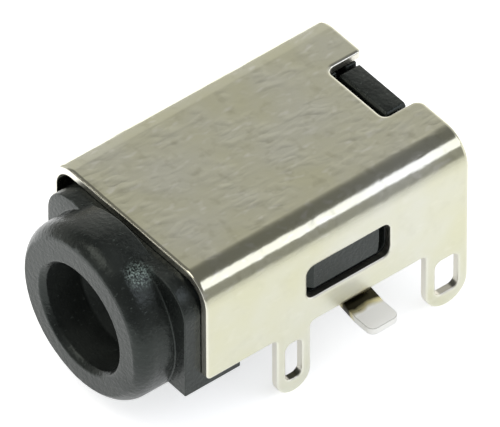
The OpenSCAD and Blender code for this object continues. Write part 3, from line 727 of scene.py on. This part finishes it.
def blankMesh(s, loops, cuts):
    # sheet with rolled-over edges: rings down its cut edge, filled outside and inside
    wide, deep = s["rollWide"], s["rollDeep"]
    roll = [k * pi / 2 / s["rollCuts"] for k in range(s["rollCuts"] + 1)]
    profile = [(wide * (1 - sin(t)), deep * (1 - cos(t))) for t in roll]
    profile += [(0.0, s["sheet"] - s["burr"]), (s["burr"], s["sheet"])]
    facing = [Vector((deep * sin(t), wide * cos(t))).normalized() for t in roll]
    facing += [(1.0, 0.0), (0.0, -1.0)]
    starts, count = [], 0
    for loop in loops:
        starts.append(count)
        count += len(loop)
    points, normals, faces = [], [], []
    for (inset, depth), (level, rise) in zip(profile, facing):
        for loop in loops:
            points += [(*(p - n * inset), -depth) for p, n in loop]
            normals += [(n.x * level, n.y * level, rise) for p, n in loop]
    for ring in range(len(profile) - 1):
        for start, loop in zip(starts, loops):
            for i in range(len(loop)):
                a, b = start + i, start + (i + 1) % len(loop)
                upper, lower = ring * count, (ring + 1) * count
                faces.append((upper + a, lower + a, lower + b, upper + b))
    rims = [(start + i, start + (i + 1) % len(loop))
            for start, loop in zip(starts, loops) for i in range(len(loop))]
    folds = []
    for c in cuts:
        ends = [i for i, (p, n) in enumerate(loops[0]) if abs(p.x - c) < s["onCut"]]
        folds.append(tuple(ends[:2]))
    for ring, turned in ((0, False), (len(profile) - 1, True)):
        flat = [Vector(point[:2]) * s["fillScale"]
                for point in points[ring * count:(ring + 1) * count]]
        filled = delaunay_2d_cdt(flat, rims + folds, [], 0, s["fillSame"])
        triangles, origins = filled[2], filled[3]
        outlines = [flat[start:start + len(loop)] for start, loop in zip(starts, loops)]
        for triangle in triangles:
            ids = [origins[v][0] for v in triangle]
            middle = sum((flat[i] for i in ids), Vector((0, 0))) / 3
            if sum(crossings(middle, outline) for outline in outlines) % 2:
                ids = [ring * count + i for i in ids]
                faces.append(tuple(reversed(ids)) if turned else tuple(ids))
    mesh = bpy.data.meshes.new("blank")
    mesh.from_pydata(points, [], faces)
    cut = mesh.attributes.new("cutFace", "FLOAT", "POINT")
    sheared = (len(roll) - 1, len(roll))    # rings at the two ends of the straight cut face
    cut.data.foreach_set("value", [1.0 if i // count in sheared else 0.0
                                   for i in range(len(points))])
    return mesh, points, normals


def crossings(p, ring):
    # how often a ray from p towards +X meets the ring
    hits = 0
    for i, b in enumerate(ring):
        a = ring[i - 1]
        if (a.y > p.y) != (b.y > p.y):
            hits += a.x + (p.y - a.y) * (b.x - a.x) / (b.y - a.y) > p.x
    return hits


def foldingTree():
    # bends a flat blank down over two folds: X runs round the fold, Z stays its depth
    tree = bpy.data.node_groups.new("foldBlank", "GeometryNodeTree")
    face = tree.interface
    face.new_socket("Blank", in_out="INPUT", socket_type="NodeSocketGeometry")
    face.new_socket("Folded", in_out="OUTPUT", socket_type="NodeSocketGeometry")
    for name in ("Flat Half", "Outer Radius", "Neutral Radius", "Top"):
        face.new_socket(name, in_out="INPUT", socket_type="NodeSocketFloat")
    face.new_socket("Plate", in_out="INPUT", socket_type="NodeSocketMaterial")
    given = addNode(tree, "NodeGroupInput").outputs
    axes = addNode(tree, "ShaderNodeSeparateXYZ", {0: addNode(tree,
                   "GeometryNodeInputPosition").outputs[0]}).outputs

    away = addNode(tree, "ShaderNodeMath", {0: axes["X"]}, operation="ABSOLUTE")
    beyond = addNode(tree, "ShaderNodeMath", {0: away, 1: given["Flat Half"]},
                     operation="SUBTRACT")
    past = addNode(tree, "ShaderNodeMath", {0: beyond, 1: 0.0}, operation="MAXIMUM")
    swing = addNode(tree, "ShaderNodeMath", {0: past, 1: given["Neutral Radius"]},
                    operation="DIVIDE")
    angle = addNode(tree, "ShaderNodeMath", {0: swing, 1: pi / 2}, operation="MINIMUM")
    bent = addNode(tree, "ShaderNodeMath", {0: angle, 1: given["Neutral Radius"]},
                   operation="MULTIPLY")
    down = addNode(tree, "ShaderNodeMath", {0: past, 1: bent}, operation="SUBTRACT")
    radius = addNode(tree, "ShaderNodeMath", {0: given["Outer Radius"], 1: axes["Z"]})
    level = addNode(tree, "ShaderNodeMath", {0: away, 1: given["Flat Half"]},
                    operation="MINIMUM")
    sine = addNode(tree, "ShaderNodeMath", {0: angle}, operation="SINE")
    out = addNode(tree, "ShaderNodeMath", {0: radius, 1: sine, 2: level},
                  operation="MULTIPLY_ADD")
    side = addNode(tree, "ShaderNodeMath", {0: axes["X"]}, operation="SIGN")
    across = addNode(tree, "ShaderNodeMath", {0: out, 1: side}, operation="MULTIPLY")
    centre = addNode(tree, "ShaderNodeMath", {0: given["Top"], 1: given["Outer Radius"]},
                     operation="SUBTRACT")
    cosine = addNode(tree, "ShaderNodeMath", {0: angle}, operation="COSINE")
    crown = addNode(tree, "ShaderNodeMath", {0: radius, 1: cosine, 2: centre},
                    operation="MULTIPLY_ADD")
    high = addNode(tree, "ShaderNodeMath", {0: crown, 1: down}, operation="SUBTRACT")
    place = addNode(tree, "ShaderNodeCombineXYZ", {0: across, 1: axes["Y"], 2: high})
    moved = addNode(tree, "GeometryNodeSetPosition", {"Geometry": given["Blank"],
                    "Position": place})
    solid = addNode(tree, "GeometryNodeRealizeInstances", {"Geometry": moved})
    plated = addNode(tree, "GeometryNodeSetMaterial", {"Geometry": solid,
                     "Material": given["Plate"]})
    addNode(tree, "NodeGroupOutput", {0: plated})
    return tree


def foldShell(s):
    low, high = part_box("shell")
    outer = s["foldInside"] + s["sheet"]
    neutral = s["foldInside"] + s["sheet"] / 2
    flatHalf = high.x - outer
    loops, cuts = blankLoops(s, low.y, high.y, flatHalf, neutral * pi / 2)
    mesh, points, normals = blankMesh(s, loops, cuts)
    shell = newPiece("foldedShell", mesh, None)
    fold = shell.modifiers.new("fold", "NODES")
    fold.node_group = foldingTree()
    values = {"Flat Half": flatHalf, "Outer Radius": outer, "Neutral Radius": neutral,
              "Top": high.z, "Plate": nickel}
    for socket in fold.node_group.interface.items_tree:
        if socket.name in values:
            fold[socket.identifier] = values[socket.name]
    frozen(shell)
    turned = []
    for (across, along, depth), (x, y, z) in zip(points, normals):
        a = min(max(abs(across) - flatHalf, 0) / neutral, pi / 2) * (1 if across > 0 else -1)
        turned.append((x * cos(a) + z * sin(a), y, z * cos(a) - x * sin(a)))
    shell.data.normals_split_custom_set_from_vertices(turned)
    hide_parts("shell")
    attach(shell, "root")
    return shell


shell = foldShell(blank)
print("shell is folded:", len(shell.data.polygons), "faces")


softened = {
    # piece name: CAD node, finish, edge radius, strips in the round
    "mouldedHousing": ("housing", moulding, 0.035 * mm, 3),
    "rearCover": ("rear_cover", moulding, 0.03 * mm, 3),
    "sleeveContact": ("sleeve_contact", strip, 0.018 * mm, 2),
    "pinTerminal": ("pin_terminal", strip, 0.018 * mm, 2),
}

seatPad = {
    # front wall of the rear seat pads; trimmed back so that none of it shows past the tab
    "start": 8.16 * mm, "top": -0.9 * mm, "side": 2.5 * mm, "trim": 0.17 * mm,
    "near": 1e-6,           # metres; a point this near the wall is on it
}

rounding = {
    "same": 1e-7,           # metres; nearer points are one
    "coplanar": 0.6,        # degrees; faces that meet flatter than this become one
    "sharp": 32,            # degrees; a blunter edge isn't rounded
    "aside": 0.5,           # sine of the angle from which a short edge cramps its neighbour
    "room": 1.2,            # edge radii that such an edge needs in length
    "backOver": 160,        # degrees; sign of a face that has been turned back
    "around": 3,            # edge radii round a folded spot that are left square
    "tries": 5,
}


def crampedEdges(bm, radius):
    # edges that meet one too short to take the round
    cramped = set()
    for edge in bm.edges:
        way = (edge.verts[1].co - edge.verts[0].co).normalized()
        for near in (e for vert in edge.verts for e in vert.link_edges):
            lean = way.cross((near.verts[1].co - near.verts[0].co).normalized()).length
            if lean > rounding["aside"] and near.calc_length() < rounding["room"] * radius:
                cramped.add(edge)
    return cramped


def foldedSpots(mesh):
    # middles of edges where a round has run over its neighbour and turned a face back
    bm = bmesh.new()
    bm.from_mesh(mesh)
    spots = [(e.verts[0].co + e.verts[1].co) / 2 for e in bm.edges
             if e.calc_face_angle(0.0) > radians(rounding["backOver"])]
    bm.free()
    return spots


def soften(name, node, material, radius, steps):
    # merged copy of a CAD solid with its crisp edges rounded, as moulding and blanking leave
    # them; an edge with no room for the round, or near a spot where one folded, stays square
    bm = bmesh.new()
    bm.from_mesh(nodes[node].data)
    bmesh.ops.remove_doubles(bm, verts=bm.verts, dist=rounding["same"])
    bmesh.ops.dissolve_limit(bm, angle_limit=radians(rounding["coplanar"]),
                             verts=bm.verts, edges=bm.edges)
    if node == "housing":
        for vert in bm.verts:
            x, y, z = vert.co
            if (abs(y - seatPad["start"]) < seatPad["near"] and z < seatPad["top"]
                    and abs(x) > seatPad["side"]):
                vert.co.y += seatPad["trim"]
    cramped = crampedEdges(bm, radius)
    weight = bm.edges.layers.float.new("bevel_weight_edge")
    for edge in bm.edges:
        sharp = (len(edge.link_faces) == 2
                 and edge.calc_face_angle(0.0) > radians(rounding["sharp"]))
        edge[weight] = 1.0 if sharp and edge not in cramped else 0.0
    for attempt in range(rounding["tries"]):
        mesh = bpy.data.meshes.new(name)
        bm.to_mesh(mesh)
        piece = newPiece(name, mesh, material)
        bevel = piece.modifiers.new("roundEdges", "BEVEL")
        bevel.limit_method, bevel.width, bevel.segments = "WEIGHT", radius, steps
        bevel.use_clamp_overlap = False
        frozen(piece)
        spots = foldedSpots(piece.data)
        print(name, "has", len(spots), "folded edges")
        if not spots:
            break
        bpy.data.objects.remove(piece)
        for edge in bm.edges:
            gaps = [(vert.co - spot).length for vert in edge.verts for spot in spots]
            if min(gaps) < rounding["around"] * radius:
                edge[weight] = 0.0
    bm.free()
    evenShading(piece)
    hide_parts(node)
    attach(piece, "root")
    return piece


for name, (node, finish, radius, steps) in softened.items():
    made = soften(name, node, finish, radius, steps)
    print(name, "has", len(made.data.polygons), "faces")


pinTurned = {
    # radius and place along the axis in millimetres, from the domed tip back to the staked
    # head, with a small break on each shoulder
    "profile": [(0.0, 1.25), (0.05, 1.25), (0.13, 1.268), (0.2, 1.302), (0.26, 1.35),
                (0.305, 1.41), (0.335, 1.475), (0.35, 1.545), (0.35, 7.36), (0.57, 7.36),
                (0.6, 7.39), (0.6, 8.13), (0.57, 8.16), (0.28, 8.16), (0.28, 8.36),
                (0.43, 8.36), (0.43, 8.42), (0.4, 8.465), (0.34, 8.48), (0.0, 8.48)],
    "around": 72,
}


def turnPin(s):
    # lathe work: one profile swept round the plug's axis, closed at both ends
    around = s["around"]
    points = [(0.0, s["profile"][0][1] * mm, 0.0)]
    for r, y in s["profile"][1:-1]:
        points += [(r * mm * sin(t * 2 * pi / around), y * mm, r * mm * cos(t * 2 * pi / around))
                   for t in range(around)]
    points.append((0.0, s["profile"][-1][1] * mm, 0.0))
    faces, last = [], len(points) - 1
    for t in range(around):
        u = (t + 1) % around
        faces.append((0, 1 + u, 1 + t))
        for ring in range(len(s["profile"]) - 3):
            a, b = 1 + ring * around, 1 + (ring + 1) * around
            faces.append((a + t, a + u, b + u, b + t))
        faces.append((last, last - around + t, last - around + u))
    mesh = bpy.data.meshes.new("turnedPin")
    mesh.from_pydata(points, [], faces)
    bm = bmesh.new()
    bm.from_mesh(mesh)
    bmesh.ops.recalc_face_normals(bm, faces=bm.faces)
    bm.to_mesh(mesh)
    bm.free()
    pin = newPiece("turnedPin", mesh, brass)
    evenShading(pin)
    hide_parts("centre_pin")
    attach(pin, "root")
    return pin


pin = turnPin(pinTurned)
print("pin is turned:", len(pin.data.polygons), "faces")


bpy.context.scene.view_settings.view_transform = "Standard"
bpy.context.view_layer.update()
